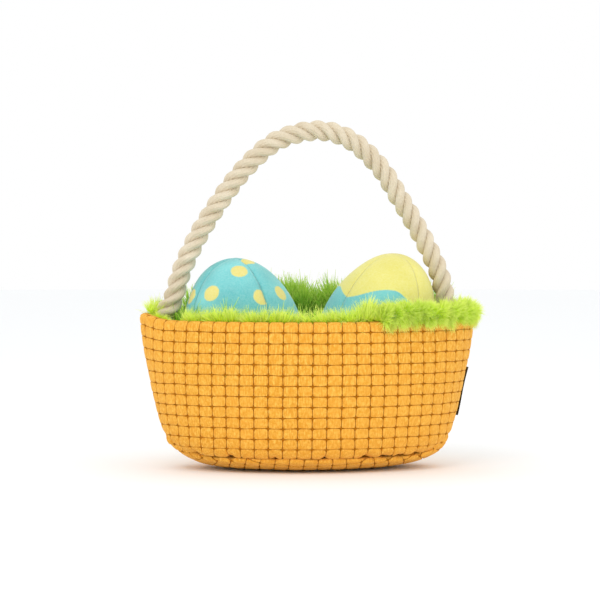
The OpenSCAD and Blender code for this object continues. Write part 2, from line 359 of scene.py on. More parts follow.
def block_plush(columns, rows, cuts, offset=(0, 0)):
    """A flat piece of block plush in the XY plane, cut along lines (point, outward normal), face up."""
    bm = bmesh.new()
    bmesh.ops.create_grid(bm, x_segments=columns, y_segments=rows, size=0.5)
    bmesh.ops.scale(bm, verts=bm.verts, vec=(columns * BLOCK_WIDTH, rows * BLOCK_HEIGHT, 1))
    bmesh.ops.translate(bm, verts=bm.verts, vec=(*offset, 0))
    for point, normal in cuts:
        geometry = bm.verts[:] + bm.edges[:] + bm.faces[:]
        bmesh.ops.bisect_plane(bm, geom=geometry, dist=MM * 0.01, plane_co=point, plane_no=normal,
                               clear_outer=True)
    bmesh.ops.remove_doubles(bm, verts=bm.verts, dist=0.5 * MM)
    top = bm.faces[:]
    crease = bm.edges.layers.float.new("crease_edge")
    # raised marks the block tops; the cloth paints shade into the rest, the grooves between them.
    raised = bm.verts.layers.float.new("raised")
    for edge in bm.edges:
        edge[crease] = 0.95 if edge.is_boundary else 0.55
    backing = bmesh.ops.duplicate(bm, geom=top)["geom"]
    backing_faces = [g for g in backing if isinstance(g, bmesh.types.BMFace)]
    backing_verts = [g for g in backing if isinstance(g, bmesh.types.BMVert)]
    bmesh.ops.reverse_faces(bm, faces=backing_faces)
    bmesh.ops.translate(bm, verts=backing_verts, vec=(0, 0, -QUILT))
    rims = [edge for edge in bm.edges if edge.is_boundary]
    bmesh.ops.bridge_loops(bm, edges=rims)
    for number, face in enumerate(top):
        if face.normal.z < 0:
            face.normal_flip()
        size = math.sqrt(face.calc_area() / (BLOCK_WIDTH * BLOCK_HEIGHT))
        share = min(1, size)
        lively = 1 + 0.2 * rough(face.calc_center_median(), 900, 3.0 + number)
        bmesh.ops.inset_individual(bm, faces=[face], thickness=GROOVE * share, depth=PUFF * share * lively,
                                   use_even_offset=True)
        middle = face.calc_center_median()
        for vert in face.verts:
            vert[raised] = 1
            sharp = LOW_CREASE if vert.co.y < middle.y else HIGH_CREASE
            for edge in vert.link_edges:
                edge[crease] = max(edge[crease], sharp)
        bmesh.ops.inset_individual(bm, faces=[face], thickness=0.5 * MM * share,
                                   depth=CROWN * share * lively, use_even_offset=True)
        for vert in face.verts:
            vert[raised] = 1
            for edge in vert.link_edges:
                edge[crease] = 0
    return rounded(bm, 2)


def rounded(bm, levels):
    """The same mesh with its faces rounded by subdivision."""
    draft = mesh_object("draft", bm)
    smooth_over(draft, levels)
    shown = draft.evaluated_get(bpy.context.evaluated_depsgraph_get())
    bm = bmesh.new()
    bm.from_mesh(shown.data)
    drop(draft)
    return bm


def drop(piece):
    data = piece.data
    bpy.data.objects.remove(piece)
    bpy.data.meshes.remove(data)


def bend_onto(bm, surface):
    """Moves each flat point to the surface, its height along the surface's normal."""
    step = 0.2 * MM
    for vert in bm.verts:
        u, v, height = vert.co
        v -= BLOCK_SAG * max(0, height)
        here = surface(u, v)
        along = surface(u + step, v) - surface(u - step, v)
        up = surface(u, v + step) - surface(u, v - step)
        normal = along.cross(up).normalized()
        vert.co = here + normal * height


def seam_rise(u, edge):
    """How much higher the base seam is at length u than in the middle of a panel of half length edge."""
    return 9 * MM * max(0.0, (abs(u) / edge - 0.62) / 0.38) ** 2


def wall_rise(u, edge):
    """How much higher the wall's lower edge is cut at length u; its corners reach behind the base's edge."""
    return seam_rise(u, edge) - 4.5 * MM * fade(abs(u) / edge, 0.78, 1)


# Deep puckers in the base seam, as (length from the panel's middle, radius)
PUCKERS = [(-74, 3), (-49, 2.4), (-22, 2), (8, 2), (34, 3.4), (46, 3.2), (56, 2.6), (69, 3.2)]


def puckered(u):
    """How deep the base seam's puckers are at length u from a panel's middle."""
    return sum(0.4 * radius * MM * math.exp(-((u / MM - place) / radius) ** 2) for place, radius in PUCKERS)


def sunk(u, v, edge):
    """How far the wall sinks near its side seams and its base seam."""
    side = 0.9 * MM * math.exp(-(max(0.0, edge - abs(u)) / (2.2 * MM)) ** 2)
    base = (1.5 + 0.9 * rough(Vector((u, 0, 0)), 90)) * MM * math.exp(-(v / (1.8 * MM)) ** 2)
    return side + base + 4 * puckered(u) * math.exp(-(v / (2.4 * MM)) ** 2)


def wall_panel(name, middle, node):
    """The front or rear half of the wall, with the hem turned in over the rim."""
    rim_edge = ARC[-1]
    columns = 2 * math.ceil(rim_edge / BLOCK_WIDTH) + 2
    top = SECTION_LENGTHS[-1]
    crest = SECTION_LENGTHS[44]
    above, below = math.ceil((top - crest) / BLOCK_HEIGHT), math.ceil(crest / BLOCK_HEIGHT)
    rows = above + below
    start = crest - below * BLOCK_HEIGHT
    low_edge = rim_edge * shrink(SEAM)
    cuts = [((0, 0, 0), (0, -1, 0)), ((0, top, 0), (0, 1, 0))]
    for share in (0.72, 0.82, 0.9, 0.96, 1.0):
        u = share * low_edge
        slope = (wall_rise(u, low_edge) - wall_rise(u - MM, low_edge)) / MM
        for side in (-1, 1):
            cuts.append(((side * u, wall_rise(u, low_edge), 0), (side * slope, -1, 0)))
    levels = [0, 3, 7, 12, 18, 26, 40, 60]
    for level in levels:
        v = level * MM
        z = between(v, SECTION_LENGTHS, SECTION_HEIGHTS)
        z_next = between(v + MM, SECTION_LENGTHS, SECTION_HEIGHTS)
        edge = rim_edge * shrink(z)
        slope = (rim_edge * shrink(z_next) - edge) / MM
        cuts.append(((edge, v, 0), (1, -slope, 0)))
        cuts.append(((-edge, v, 0), (-1, -slope, 0)))
    bm = block_plush(columns, rows, cuts, (0, start + rows * BLOCK_HEIGHT / 2))

    def surface(u, v):
        spot = Vector((u, v, middle))
        z = between(v, SECTION_LENGTHS, SECTION_HEIGHTS)
        edge = rim_edge * shrink(z)
        keep = min(1, max(0, (edge - abs(u)) / (6 * MM)))
        u_wavy = u + keep * 0.35 * MM * rough(spot, 110, 1.0)
        v_wavy = v + 0.35 * MM * rough(spot, 90, 5.0) * min(1, v / (5 * MM))
        v_wavy += 1.5 * puckered(u) * math.exp(-((v - seam_rise(u, low_edge)) / (3 * MM)) ** 2)
        point = wall_point(u_wavy, v_wavy, middle)
        middle_line = Vector((0.3 * point.x, 0, point.z))
        outward = (point - middle_line)
        outward.z = 0
        outward.normalize()
        inside = v > SECTION_LENGTHS[41]
        push = 0.7 * MM * rough(spot, 28, 9.0) - (0 if inside else sunk(u, v - seam_rise(u, low_edge), edge))
        point.z -= 0.9 * MM * fade(v, 0.5 * crest, crest) * (1 - (u / edge) ** 2)
        to_left = (-u if middle == 270 else u) / edge
        point.z += 3.4 * MM * fade(v, 0.5 * crest, crest) * fade(to_left, 0.74, 1)
        return point + outward * push

    bend_onto(bm, surface)
    for vert in bm.verts:
        if (vert.co.y > -0.05 * MM) == (middle == 270):
            vert.co.y = -0.05 * MM if middle == 270 else 0.05 * MM
    panel = mesh_object(name, bm)
    finish_piece(panel, block_plush_cloth(name), "basket", [node])
    return panel


def base_panel():
    """The oval of block plush under the basket, with its rounded edge turned up to the wall."""
    low = PUFF + CROWN
    heights = [low + (SEAM - low) * (i / 24) ** 1.5 for i in range(25)]
    scales = [shrink(max(0.0, (z - low) * SEAM / (SEAM - low))) for z in heights]
    run = list(accumulate((math.hypot(HALF_LENGTH * (b - a), d - c) for a, b, c, d in
                           zip(scales, scales[1:], heights, heights[1:])), initial=HALF_LENGTH * scales[0]))
    half = run[-1]
    depth = half * HALF_DEPTH / HALF_LENGTH + 3 * MM
    cuts = []
    for i in range(40):
        t = 360 * i / 40 + 4.5
        here, ahead = oval(half, depth, t, 0.12), oval(half, depth, t + 0.5, 0.12)
        along = (ahead - here).normalized()
        cuts.append((here, (along.y, -along.x, 0)))
    columns = 2 * math.ceil(half / BLOCK_WIDTH) + 1
    rows = 2 * math.ceil(depth / BLOCK_HEIGHT) + 1
    bm = block_plush(columns, rows, cuts)

    def surface(x, y):
        x_share, y_share = abs(x) / half, abs(y) / depth
        low_turn, high_turn = 0.0, 90.0
        for _ in range(24):
            turn = (low_turn + high_turn) / 2
            edge = oval(1, 1, turn, 0.12)
            if y_share * edge.x > x_share * edge.y:
                low_turn = turn
            else:
                high_turn = turn
        edge = oval(1, 1, turn, 0.12)
        share = max(x_share / max(edge.x, 1e-6) if edge.x > 0.5 else y_share / edge.y, 0)
        length = share * half
        scale = between(length, run, scales) if length > run[0] else length / HALF_LENGTH
        z = between(length, run, heights)
        edge_share = between(90 - turn, ARC_TURNS, ARC) / ARC[-1]
        grown = 1 + seam_rise(edge_share, 1) / (SEAM - low)
        if length > run[0]:
            z = low + (z - low) * grown
            scale = shrink((z - low) * (low + (SEAM - low) * grown) / ((SEAM - low) * grown))
        z += 1.3 * MM * fade(share, 0.3, 0.62) * (1 - fade(share, 0.85, 1))
        spot = oval(scale * HALF_LENGTH, scale * HALF_DEPTH, turn)
        point = Vector((math.copysign(spot.x, x), math.copysign(spot.y, y), z))
        ends = 3.0 * fade(x / half, 0.6, 0.85) + 1.6 * fade(-x / half, 0.6, 0.85)
        point.x += ends * MM * fade(share, 0.6, 0.85)
        pinch = 2.0 * MM * math.exp(-((1 - share) * half / (2 * MM)) ** 2) - 0.8 * MM * fade(share, 0.7, 0.9)
        waver = 1.6 * MM * rough(Vector((x, y, 0)), 70, 2.0) * min(1, max(0, share - 0.6) * 4)
        outward = Vector((point.x * 0.4, point.y, 0))
        outward = outward.normalized() if outward.length > 1e-6 else Vector((0, 0, 0))
        along = math.copysign(edge_share * ARC[-1] * shrink(SEAM), x * -y)
        dent = 2.5 * puckered(along) * fade(share, 0.93, 1)
        return point - outward * (pinch + waver + dent)

    for vert in bm.verts:
        vert.co.z = -vert.co.z
    bmesh.ops.reverse_faces(bm, faces=bm.faces)
    for vert in bm.verts:
        x, y, height = vert.co
        step = 0.2 * MM
        along = surface(x + step, y) - surface(x - step, y)
        up = surface(x, y + step) - surface(x, y - step)
        normal = along.cross(up).normalized()
        vert.co = surface(x, y) + normal * height
        vert.co.z = max(vert.co.z, 0.0002)
    panel = mesh_object("base_plush", bm)
    finish_piece(panel, block_plush_cloth("base_plush"), "basket", ["base_panel"])
    return panel


def block_plush_cloth(name):
    """Orange plush with fine upright ribs, painted darker and browner down in its grooves as painted shade."""
    n = Nodes(name + "_cloth")
    place = n.place()
    ribs = n.noise(n.mapped(place, scale=(1500, 1500, 160)), 1.0, 2.0)
    mottle = n.noise(place, 620, 3.0, 0.65)
    wide = n.noise(place, 18, 2.0)
    depth = n.remap(n.attribute("raised"), 0.35, 0.95)
    # The bright yellow patches of the mottle are partly the pile's own uneven tone and partly painted sheen.
    face = n.mix(n.remap(mottle, 0.35, 0.65), (0.82, 0.375, 0.032), (0.99, 0.575, 0.105))
    face = n.mix(n.remap(ribs, 0.42, 0.6, 0.0, 0.75), face, (0.76, 0.305, 0.022))
    face = n.mix(n.remap(wide, 0.35, 0.65, 0.0, 0.3), face, (0.95, 0.45, 0.06))
    # Painted shade: dark brown in the grooves, everywhere that is not raised.
    colour = n.mix(depth, (0.50, 0.185, 0.003), face)
    height = n.math("ADD", n.math("MULTIPLY", ribs, 0.7), mottle)
    n.set(Base_Color=colour, Roughness=0.92, Specular_IOR_Level=0.15, Sheen_Weight=0.25, Sheen_Roughness=0.5,
          Sheen_Tint=(1.0, 0.75, 0.35, 1), Normal=n.bump(height, 0.9, 0.45 * MM))
    return n.material


# ---- Rope handle ----

ROPE_RADIUS = (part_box("rope_strand_1")[1].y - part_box("rope_strand_1")[0].y) / 2
ROPE_LAY = 26 * MM
# The rope's middle line in the plane y = 0, from its left buried end to its right one
ROPE_ROUTE = [
    (-83.8, 66), (-85, 78), (-86, 90), (-80, 100), (-74, 119), (-64, 140), (-50, 162), (-35, 181),
    (-17, 196), (6, 202), (26, 197), (44, 181), (57, 161), (70, 139), (80, 118), (84, 102),
    (86, 90), (85, 78), (83.8, 66),
]
YARNS = 11


def smooth_line(points, steps):
    """Points of a smooth curve through the given ones, steps to a span."""
    line = []
    last = len(points) - 1
    for i in range(last):
        p0, p1, p2, p3 = (points[min(max(k, 0), last)] for k in (i - 1, i, i + 1, i + 2))
        for s in range(steps):
            u = s / steps
            line.append(0.5 * (2 * p1 + (p2 - p0) * u + (2 * p0 - 5 * p1 + 4 * p2 - p3) * u * u
                               + (3 * p1 - p0 - 3 * p2 + p3) * u ** 3))
    return line + [points[last]]


def line_lengths(line):
    return list(accumulate(((b - a).length for a, b in zip(line, line[1:])), initial=0))


def rope_frame(line, i):
    """The matrix of a cross-section of the rope at a point of its middle line."""
    way = (line[min(i + 1, len(line) - 1)] - line[max(i - 1, 0)]).normalized()
    across = Vector((0, 1, 0))
    inward = across.cross(way)
    matrix = Matrix((inward, across, way)).transposed().to_4x4()
    matrix.translation = line[i]
    return matrix


def rope_strand(bm, line, lengths, number):
    """One strand: a ring of yarns carried along the rope while it winds round the middle line."""
    orbit, radius = 0.51 * ROPE_RADIUS, 0.50 * ROPE_RADIUS
    ring = bmesh.ops.create_circle(bm, segments=YARNS * 5, radius=radius)["verts"]
    shape = [vert.co.copy() for vert in ring]
    edges = list({edge for vert in ring for edge in vert.link_edges})
    bmesh.ops.contextual_create(bm, geom=edges)
    for i, length in enumerate(lengths):
        if i:
            grown = bmesh.ops.extrude_edge_only(bm, edges=edges)["geom"]
            new = [g for g in grown if isinstance(g, bmesh.types.BMVert)]
            edges = [g for g in grown if isinstance(g, bmesh.types.BMEdge)]
            # The new ring is matched to the old one through the edges that join them
            ring = [next(e.other_vert(old) for e in old.link_edges if e.other_vert(old) in set(new))
                    for old in ring]
        wind = 2 * math.pi * (length / ROPE_LAY + number / 3)
        matrix = rope_frame(line, i)
        centre = Vector((orbit * math.cos(wind), orbit * math.sin(wind), 0))
        for vert, flat in zip(ring, shape):
            angle = math.atan2(flat.y, flat.x)
            yarn = YARNS * (angle - wind) - 2 * math.pi * length / (ROPE_LAY * 0.5)
            lobe = 1 + 0.035 * math.cos(yarn) + 0.02 * rough(line[i] + flat * 3, 400, number)
            vert.co = matrix @ (centre + flat * lobe)
    bmesh.ops.contextual_create(bm, geom=edges)


def rope_handle():
    line = smooth_line([Vector((x * MM, 0, z * MM)) for x, z in ROPE_ROUTE], 12)
    lengths = line_lengths(line)
    bm = bmesh.new()
    for number in range(3):
        rope_strand(bm, line, lengths, number)
    bmesh.ops.recalc_face_normals(bm, faces=bm.faces)
    rope = mesh_object("rope_handle", bm)
    finish_piece(rope, cotton_rope(), None,
                 ["rope_strand_1", "rope_strand_2", "rope_strand_3", "rope_bends", "left_rope_end",
                  "right_rope_end"])
    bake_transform(rope)
    return rope


def cotton_rope():
    """Natural cotton: cream, with painted shade making it a little darker between its strands and yarns."""
    n = Nodes("cotton_rope")
    place = n.place()
    fibre = n.noise(n.mapped(place, scale=(1, 1, 0.5)), 1600, 3.0, 0.65)
    tone = n.noise(place, 120, 3.0)
    pointy = n.add("ShaderNodeNewGeometry").outputs["Pointiness"]
    colour = n.mix(n.remap(tone, 0.3, 0.7), (0.69, 0.59, 0.43), (0.80, 0.71, 0.55))
    colour = n.mix(n.remap(fibre, 0.3, 0.7, 0.0, 0.4), colour, (0.52, 0.43, 0.29))
    # Painted shade: dark brown where the rope is hollow, between its strands and yarns.
    colour = n.mix(n.remap(pointy, 0.40, 0.50), (0.27, 0.19, 0.10), colour)
    n.set(Base_Color=colour, Roughness=0.9, Specular_IOR_Level=0.2, Sheen_Weight=0.2,
          Normal=n.bump(fibre, 0.5, 0.25 * MM))
    return n.material


# ---- Eggs ----

EGG_POINT = 0.08
EGG_SKIN = 1.2 * MM


class Egg:
    """An egg: its middle, its lean in mm to the right per mm up, its sizes, its turn and its seams' depth."""

    def __init__(self, name, place, lean, radius, length, turned, seam):
        self.name = name
        self.seam = seam * MM
        self.radius = radius * MM
        self.half = length * MM / 2
        self.lean = lean
        self.turned = turned
        self.middle = Vector(place) * MM
        sheared = Matrix(((1, 0, lean, 0), (0, 1, 0, 0), (0, 0, 1, 0), (0, 0, 0, 1)))
        self.frame = Matrix.Translation(self.middle) @ sheared

    def skin(self, turn, height, inside=0.0):
        """A point of the skin, at a turn in degrees and a height from -1 to 1, in the egg's own frame."""
        r = (self.radius - inside) * math.sqrt(max(0.0, 1 - height * height)) * (1 - EGG_POINT * height)
        turn = math.radians(turn)
        return Vector((r * math.cos(turn), r * math.sin(turn), (self.half - inside) * height))


DOTTED_EGG = Egg("dotted_egg", (-37.6, 0, 83.6), -0.1, 35.2, 84, -18, 1.2)
WAVED_EGG = Egg("waved_egg", (42, 0, 84.8), 0.24, 34.8, 87, -6, 0.4)
# The dots' places on the egg as (turn, height, radius in mm)
DOTS = [(271, 0.82, 5), (233, 0.51, 5), (324, 0.51, 4.8), (194, 0.46, 4.8), (319, 0.962, 4.4),
        (15, 0.80, 4.8), (75, 0.84, 5), (140, 0.80, 4.8), (0, 0.48, 4.8), (34, 0.46, 5), (64, 0.50, 4.8),
        (98, 0.47, 5), (128, 0.50, 4.8), (160, 0.46, 5), (216, 0.10, 5), (258, 0.12, 4.8), (310, 0.10, 5),
        (345, 0.12, 4.8), (20, 0.10, 5), (55, 0.12, 4.8), (88, 0.10, 5), (120, 0.10, 4.8), (150, 0.12, 5),
        (182, 0.10, 4.8), (236, -0.30, 5), (285, -0.28, 4.8), (335, -0.30, 5), (30, -0.28, 4.8),
        (80, -0.30, 5), (130, -0.28, 4.8), (185, -0.30, 5)]
# A dot that the front gore's seam cuts
CUT_DOT = (292, 0.46, 5)
# The printed wave of each gore as (its crest's turn, its height in mm over the egg's middle, its size in mm,
# its slope in mm per degree)
WAVES = {"front": (266, 20, 2.2, 0), "right": (352, 12, 3.4, 0.05), "rear": (82, 18, 3.0, -0.03),
         "left": (187, 20.2, 4.0, 0.0)}
# How the front gore's wave falls away to the right: metres per radian of turn, and height at its crest
WAVE_FALL = (-25 * MM, 7.8 * MM)
GORE_STEPS = 28
GORE_RINGS = 44


def gore(egg, side, middle):
    """One of an egg's four sewn panels, drawn in along its two seams."""
    bm = bmesh.new()
    bmesh.ops.create_grid(bm, x_segments=GORE_STEPS, y_segments=GORE_RINGS, size=0.5)
    for vert in bm.verts:
        across, up = vert.co.x * 2, -math.cos(math.pi * (vert.co.y + 0.5) * 0.9999)
        turn = middle + 45 * math.copysign(abs(across) ** 0.8, across)
        point = egg.skin(turn, up)
        radius = max(math.hypot(point.x, point.y), 0.1 * MM)
        gap = math.radians(45 - abs(turn - middle)) * radius
        ripple = 1 + 0.5 * math.sin(up * egg.half / (1.5 * MM) + 2 * rough(point, 60))
        pinch = egg.seam * math.exp(-(gap / (1.5 * MM)) ** 1.5) * min(1, radius / (6 * MM))
        crease = 0.24 * egg.seam * ripple * math.exp(-(gap / (4 * MM)) ** 2) * min(1, radius / (10 * MM))
        lump = 0.5 * MM * rough(point, 45, 4.0 + middle) * (1 - math.exp(-(gap / (5 * MM)) ** 2))
        outward = Vector((point.x / egg.radius ** 2, point.y / egg.radius ** 2, point.z / egg.half ** 2))
        point += outward.normalized() * (0.3 * MM + lump - pinch - crease)
        vert.co = egg.frame @ point
    bmesh.ops.remove_doubles(bm, verts=bm.verts, dist=0.02 * MM)
    name = f"{egg.name}_{side}_gore"
    piece = mesh_object(name + "_velour", bm)
    wall = piece.modifiers.new("thickness", "SOLIDIFY")
    wall.thickness = EGG_SKIN
    wall.offset = -1
    return piece, name


def printed_velour(egg, side):
    """Short velour printed with round dots or with one wavy edge, for one gore of an egg."""
    n = Nodes(f"{egg.name}_{side}_velour")
    place = n.place()
    nap = n.noise(place, 900, 3.0, 0.6)
    weave = n.noise(n.mapped(place, scale=(1, 1, 2.2)), 1500, 2.0)
    wide = n.noise(place, 45, 3.0)
    edge = n.math("MULTIPLY", n.math("SUBTRACT", nap, 0.5), 1.6 * MM)
    blue = n.mix(n.remap(wide, 0.3, 0.7), (0.13, 0.50, 0.51), (0.215, 0.66, 0.655))
    yellow = n.mix(n.remap(wide, 0.3, 0.7), (0.75, 0.69, 0.155), (0.83, 0.77, 0.22))
    if egg is DOTTED_EGG:
        dots = None
        for turn, height, radius in DOTS + ([CUT_DOT] if side == "front" else []):
            far = n.add("ShaderNodeVectorMath", operation="DISTANCE")
            n.link(place, far.inputs[0])
            far.inputs[1].default_value = egg.frame @ egg.skin(turn, height)
            inside = n.remap(n.math("ADD", far.outputs["Value"], edge), (radius + 0.3) * MM, (radius - 0.3) * MM)
            dots = inside if dots is None else n.math("MAXIMUM", dots, inside)
        colour = n.mix(dots, blue, (0.78, 0.69, 0.20))
    else:
        crest, level, size, slope = WAVES[side]
        split = n.add("ShaderNodeSeparateXYZ")
        n.link(place, split.inputs["Vector"])
        x, y, z = split.outputs
        up = n.math("SUBTRACT", z, egg.middle.z)
        ahead = n.math("SUBTRACT", n.math("MULTIPLY_ADD", up, -egg.lean, x), egg.middle.x)
        turn = n.math("SUBTRACT", n.math("ARCTAN2", y, ahead), math.radians(crest))
        turn = n.math("WRAP", turn, math.pi, -math.pi)
        wave = n.math("MULTIPLY", n.math("COSINE", n.math("MULTIPLY", turn, 3.75)), size * MM)
        wave = n.math("MULTIPLY_ADD", turn, math.degrees(slope) * MM, wave)
        if side == "front":
            wave = n.math("SMOOTH_MIN", wave, n.math("MULTIPLY_ADD", turn, *WAVE_FALL), 2 * MM)
        above = n.math("SUBTRACT", n.math("ADD", up, n.math("MULTIPLY", edge, 0.5)), wave)
        colour = n.mix(n.remap(above, (level - 0.3) * MM, (level + 0.3) * MM), blue, yellow)
    colour = n.mix(n.remap(nap, 0.35, 0.75, 0.0, 0.14), colour, (0.9, 0.95, 0.9), "SCREEN")
    height = n.math("ADD", n.math("MULTIPLY", nap, 0.7), weave)
    n.set(Base_Color=colour, Roughness=0.88, Specular_IOR_Level=0.2, Sheen_Weight=0.3, Sheen_Roughness=0.45,
          Normal=n.bump(height, 0.4, 0.3 * MM))
    return n.material


def egg_stuffing(egg):
    """The fibre that fills an egg, hollow round its squeaker."""
    bm = bmesh.new()
    skin = bmesh.ops.create_uvsphere(bm, u_segments=48, v_segments=32, radius=1)["verts"]
    for vert in skin:
        turn, height = math.degrees(math.atan2(vert.co.y, vert.co.x)), vert.co.z
        point = egg.skin(turn, height, EGG_SKIN + 1.6 * MM)
        vert.co = egg.frame @ (point * (1 + 0.012 * rough(point, 120, 3.0)))
    hollow = bmesh.ops.create_uvsphere(bm, u_segments=32, v_segments=20, radius=18 * MM)["verts"]
    bmesh.ops.reverse_faces(bm, faces=list({face for vert in hollow for face in vert.link_faces}))
    for vert in hollow:
        vert.co += egg.middle + Vector((0, 0, 2 * MM))
    piece = mesh_object(egg.name + "_stuffing", bm)
    finish_piece(piece, stuffing_fibre(egg.name), "basket", [egg.name + "_filling"])


def add_egg(egg):
    starts = {"front": 270, "right": 360, "rear": 90, "left": 180}
    for side, start in starts.items():
        piece, node = gore(egg, side, start + egg.turned)
        finish_piece(piece, printed_velour(egg, side), "basket", [node])
    egg_stuffing(egg)


# ---- Filling, threads, squeakers and tab ----

def body_stuffing():
    """The fibre inside the wall and the base, a little slack at the base seam."""
    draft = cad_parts["body_filling"].copy()
    draft.data = draft.data.copy()
    bpy.context.collection.objects.link(draft)
    draft.hide_viewport = draft.hide_render = False
    lumps = draft.modifiers.new("lumps", "REMESH")
    lumps.mode = "VOXEL"
    lumps.voxel_size = 2 * MM
    shown = draft.evaluated_get(bpy.context.evaluated_depsgraph_get())
    bm = bmesh.new()
    bm.from_mesh(shown.data)
    drop(draft)
    bm.normal_update()
    for vert in bm.verts:
        vert.co -= vert.normal * 0.8 * MM
        vert.co.z = min(vert.co.z, 82.5 * MM)
        slack = 0.6 + 3.4 * max(0, 1 - vert.co.z / (26 * MM))
        inward = Vector((-vert.co.x * 0.5, -vert.co.y, 0))
        if math.hypot(vert.co.x * HALF_DEPTH / HALF_LENGTH, vert.co.y) > 0.5 * HALF_DEPTH * shrink(vert.co.z):
            vert.co += inward.normalized() * slack * MM
        vert.co.z = max(vert.co.z, 4 * MM)
    piece = mesh_object("body_stuffing", bm)
    finish_piece(piece, stuffing_fibre("body"), "basket", ["body_filling"])


def stuffing_fibre(name):
    """White polyester fibre in loose wads."""
    n = Nodes(name + "_fibre")
    place = n.place()
    wads = n.noise(place, 160, 4.0, 0.7)
    strands = n.noise(n.mapped(place, rotation=(0.6, 0.3, 0.9), scale=(1, 1, 0.15)), 2200, 3.0, 0.7)
    colour = n.mix(n.remap(wads, 0.3, 0.7), (0.78, 0.78, 0.76), (0.92, 0.92, 0.91))
    height = n.math("MULTIPLY_ADD", strands, 0.4, wads)
    n.set(Base_Color=colour, Roughness=0.95, Specular_IOR_Level=0.1, Sheen_Weight=0.3,
          Normal=n.bump(height, 0.7, 0.6 * MM))
    return n.material


def thread_look(name, dark, light):
    """Twisted sewing thread."""
    n = Nodes(name)
    place = n.place()
    twist = n.noise(n.mapped(place, rotation=(0.5, 0.5, 0), scale=(1, 1, 3)), 2400, 2.0)
    n.set(Base_Color=n.mix(n.remap(twist, 0.3, 0.7), dark, light), Roughness=0.75, Specular_IOR_Level=0.3,
          Normal=n.bump(twist, 0.5, 0.1 * MM))
    return n.material


def moulded_plastic(name, dark, light, roughness):
    """Thin moulded plastic with a faint grain."""
    n = Nodes(name)
    place = n.place()
    grain = n.noise(place, 700, 2.0)
    cloud = n.noise(place, 90, 2.0)
    n.set(Base_Color=n.mix(n.remap(cloud, 0.3, 0.7), dark, light), Roughness=n.remap(grain, 0.2, 0.8, roughness - 0.1,
          roughness + 0.1), Normal=n.bump(grain, 0.15, 0.05 * MM))
    return n.material


def carry_over(material, *names):
    for name in names:
        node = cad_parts[name]
        node.data.materials.clear()
        node.data.materials.append(material)


TAB_PLACE = (90.98, 0, 46)
TAB_REACH = 12 * MM
TAB_HEIGHT = 30 * MM
TAB_LAYER = 0.5 * MM
TAB_ANGLE = 20
TAB_TILT = 0.23


def woven_tab():
    """A folded ribbon: out of the side seam, round its fold and back, curling a little."""
    bm = bmesh.new()
    bmesh.ops.create_grid(bm, x_segments=44, y_segments=24, size=0.5)
    fold = 0.42 * MM
    half_turn = math.pi * fold
    run = 2 * (TAB_REACH - fold) + half_turn
    frame_out = (Matrix.Translation(Vector(TAB_PLACE) * MM) @ Matrix.Rotation(math.atan(TAB_TILT), 4, "Y")
                 @ Matrix.Rotation(math.radians(90 - TAB_ANGLE), 4, "Z"))
    for vert in bm.verts:
        along, up = (vert.co.x + 0.5) * run, vert.co.y * TAB_HEIGHT
        straight = TAB_REACH - fold
        if along < straight:
            out, aside = along, fold
        elif along > straight + half_turn:
            out, aside = run - along, -fold
        else:
            turn = (along - straight) / fold
            out, aside = straight + fold * math.sin(turn), fold * math.cos(turn)
        curl = (0.3 * math.sin(up / TAB_HEIGHT * 5 + 0.6) - 1.4) * MM * (out / TAB_REACH) ** 2
        vert.co = frame_out @ Vector((out, aside + curl, up))
    bmesh.ops.recalc_face_normals(bm, faces=bm.faces)
    tab = mesh_object("folded_tab", bm)
    layer = tab.modifiers.new("thickness", "SOLIDIFY")
    layer.thickness = TAB_LAYER
    layer.offset = 0
    finish_piece(tab, tab_ribbon(), "tab", ["woven_tab"])


def tab_ribbon():
    """Dark brown woven ribbon with fine ribs across it."""
    n = Nodes("tab_ribbon")
    place = n.place()
    warp = n.noise(n.mapped(place, scale=(1, 1, 6)), 900, 2.0)
    weft = n.noise(n.mapped(place, scale=(4, 4, 1)), 900, 2.0)
    weave = n.math("ADD", warp, weft)
    n.set(Base_Color=n.mix(n.remap(weave, 0.8, 1.2), (0.024, 0.012, 0.004), (0.055, 0.028, 0.010)), Roughness=1,
          Specular_IOR_Level=0, Normal=n.bump(weave, 0.5, 0.15 * MM))
    return n.material


# ---- Grass pile ----

def blade():
    """One fibre tuft of the pile, one unit tall, bent a little, with its share of the height stored."""
    bm = bmesh.new()
    bmesh.ops.create_grid(bm, x_segments=1, y_segments=3, size=0.5)
    for vert in bm.verts:
        up = vert.co.y + 0.5
        vert.co = Vector((vert.co.x * 0.034 * (1 - 0.85 * up ** 2), 0.16 * up ** 2, up))
    tip = bm.verts.layers.float.new("tip")
    for vert in bm.verts:
        vert[tip] = vert.co.z
    return mesh_object("blade", bm)


def lay_roots(name, rows, columns, place):
    """A strip that pile grows from; place gives each point, its comb, length, droop and thickness."""
    bm = bmesh.new()
    bmesh.ops.create_grid(bm, x_segments=columns, y_segments=rows, size=0.5)
    spots = [place(vert.co.x + 0.5, vert.co.y + 0.5) for vert in bm.verts]
    for vert, spot in zip(bm.verts, spots):
        vert.co = spot[0]
    piece = mesh_object(name, bm)
    for key, kind, index in (("comb", "FLOAT_VECTOR", 1), ("long", "FLOAT", 2), ("droop", "FLOAT_VECTOR", 3),
                             ("thick", "FLOAT", 4)):
        layer = piece.data.attributes.new(key, kind, "POINT")
        for item, spot in zip(layer.data, spots):
            if kind == "FLOAT":
                item.value = spot[index]
            else:
                item.vector = spot[index]
    return piece


